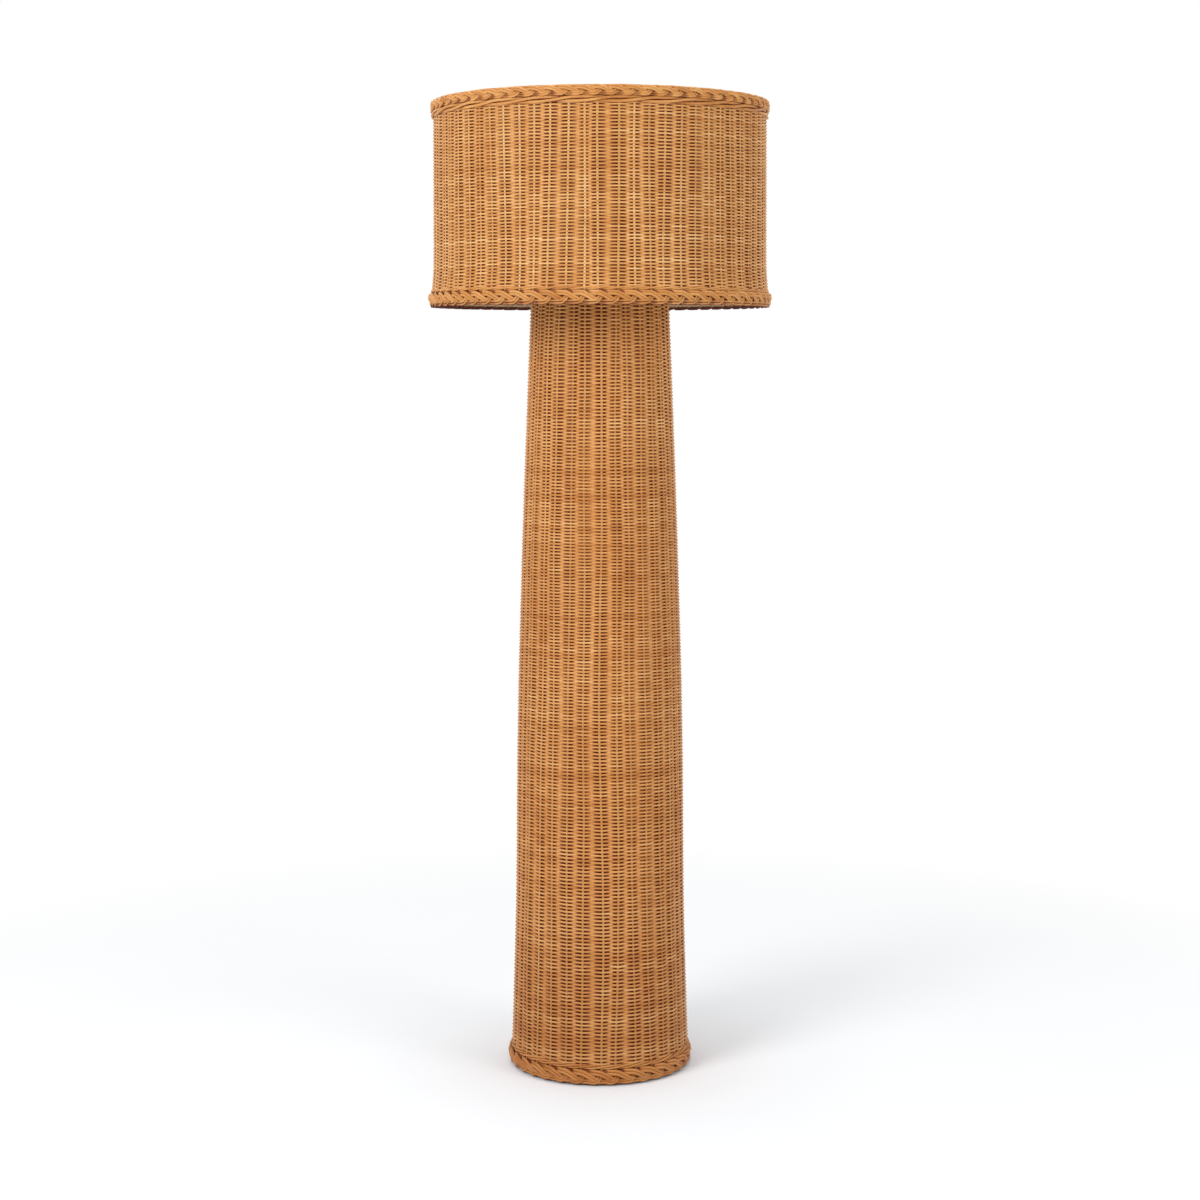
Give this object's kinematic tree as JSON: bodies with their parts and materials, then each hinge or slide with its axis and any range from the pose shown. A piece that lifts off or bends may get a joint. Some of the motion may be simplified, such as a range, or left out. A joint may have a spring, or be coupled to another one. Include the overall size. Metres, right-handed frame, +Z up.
{
  "type": "rattan floor lamp",
  "caption": "Floor lamp with a tapered woven cane column on a plaited foot and a woven drum shade with plaited rims, carried by a harp over a bulb.",
  "frame": {"origin": "on the floor, under the middle of the column", "axes": "+Z up along the column's axis; +Y to the back, where the cord inlet is; the harp lies in the XZ plane"},
  "size_m": [0.5362, 0.5368, 1.5235],
  "materials": {
    "cane": "round core cane, honey brown under clear lacquer, satin",
    "plaited_cane": "plaited core cane, honey brown under clear lacquer, satin",
    "plywood": "bare birch plywood",
    "black_steel": "black stove enamel on steel rod",
    "zinc_steel": "zinc plated steel",
    "brass": "brass plated steel, satin",
    "cast_iron": "rough cast iron",
    "rubber": "matt black rubber",
    "phenolic": "dark brown moulded phenolic",
    "fibre_board": "insulating fibre sleeve",
    "opal_glass": "opal white glass"
  },
  "bodies": {
    "column": {"foot_pad_1": "rubber", "foot_pad_2": "rubber", "foot_pad_3": "rubber", "foot_pad_4": "rubber", "cord_grommet": "rubber", "base_board": "plywood", "column_top_cap": "plywood", "base_weight": "cast_iron", "center_pipe": "zinc_steel", "bottom_lock_nut": "zinc_steel", "bottom_washer": "zinc_steel", "weight_lock_nut": "zinc_steel", "top_washer": "zinc_steel", "top_lock_nut": "zinc_steel", "frame_hoop_foot": "black_steel", "frame_hoop_lower": "black_steel", "frame_hoop_middle": "black_steel", "frame_hoop_upper": "black_steel", "frame_hoop_top": "black_steel", "frame_upright_1": "black_steel", "frame_upright_2": "black_steel", "frame_upright_3": "black_steel", "frame_upright_4": "black_steel", "column_weave": "cane", "column_foot_braid": "plaited_cane", "column_top_border": "plaited_cane", "socket_cap": "brass", "socket_shell": "brass", "screw_shell": "brass", "harp_saddle": "brass", "harp": "brass", "harp_stud": "brass", "socket_liner": "fibre_board", "switch_body": "phenolic"},
    "turn_knob": {"turn_knob": "phenolic"},
    "bulb": {"bulb_screw_base": "zinc_steel", "bulb_glass": "opal_glass"},
    "harp_sleeve_left": {"harp_sleeve_left": "brass"},
    "harp_sleeve_right": {"harp_sleeve_right": "brass"},
    "finial": {"finial": "brass"},
    "shade": {"shade_weave": "cane", "shade_top_braid": "plaited_cane", "shade_bottom_braid": "plaited_cane", "shade_top_ring": "brass", "shade_bottom_ring": "brass", "spider_hub": "brass", "spider_arm_1": "brass", "spider_arm_2": "brass", "spider_arm_3": "brass"}
  },
  "joints": [
    {"name": "knob_turn", "type": "hinge", "parent": "column", "child": "turn_knob", "pos_m": [0, -0.03, 1.3057], "axis": [0, -1, 0], "continuous": true},
    {"name": "bulb_turn", "type": "hinge", "parent": "column", "child": "bulb", "pos_m": [0, 0, 1.33], "axis": [0, 0, 1], "continuous": true},
    {"name": "sleeve_left_lift", "type": "slide", "parent": "column", "child": "harp_sleeve_left", "axis": [0, 0, 1], "range_m": [0, 0.018]},
    {"name": "sleeve_right_lift", "type": "slide", "parent": "column", "child": "harp_sleeve_right", "axis": [0, 0, 1], "range_m": [0, 0.018]},
    {"name": "finial_turn", "type": "hinge", "parent": "column", "child": "finial", "pos_m": [0, 0, 1.495], "axis": [0, 0, 1], "continuous": true},
    {"name": "shade_swivel", "type": "hinge", "parent": "column", "child": "shade", "pos_m": [0, 0, 1.488], "axis": [0, 0, 1], "continuous": true}
  ]
}
